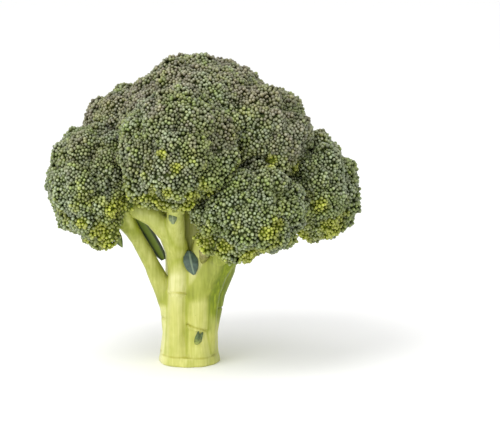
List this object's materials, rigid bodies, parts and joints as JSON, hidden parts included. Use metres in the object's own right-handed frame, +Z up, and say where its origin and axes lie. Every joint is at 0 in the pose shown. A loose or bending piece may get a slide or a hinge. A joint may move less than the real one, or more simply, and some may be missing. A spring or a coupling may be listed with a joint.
{
  "type": "broccoli head",
  "caption": "Whole broccoli head with a crown of rounded green bud clusters on stalks that branch from a thick pale stem, standing on its flat cut end.",
  "frame": {"origin": "centre of the flat cut face of the stem, on the surface the head stands on", "axes": "+Z up the stem, +X to the right and -Y to the front of the head"},
  "size_m": [0.1581, 0.1464, 0.1597],
  "materials": {
    "stem": "smooth waxy pale green stem skin",
    "stalk": "smooth waxy green stalk skin",
    "buds": "matt dark green flower buds with a bluish bloom",
    "leaf": "matt blue-green leaf",
    "scar": "dry brownish cut leaf foot"
  },
  "bodies": {
    "root": {"main_stem": "stem", "stalk_top": "stalk", "stalk_left_high": "stalk", "stalk_front_high": "stalk", "stalk_right_high": "stalk", "stalk_back_right_high": "stalk", "stalk_back_high": "stalk", "stalk_left_low": "stalk", "stalk_front_right_low": "stalk", "stalk_right_low": "stalk", "stalk_back_right_low": "stalk", "stalk_back_low": "stalk", "stalk_back_left_low": "stalk", "floret_top": "buds", "floret_left_high": "buds", "floret_front_high": "buds", "floret_right_high": "buds", "floret_back_right_high": "buds", "floret_back_high": "buds", "floret_left_low": "buds", "floret_front_right_low": "buds", "floret_right_low": "buds", "floret_back_right_low": "buds", "floret_back_low": "buds", "floret_back_left_low": "buds", "stem_leaf": "leaf", "strap_leaf": "leaf", "side_leaf": "leaf", "stalk_bract": "leaf", "petiole_stub": "scar", "axillary_bud": "stem"}
  },
  "joints": []
}
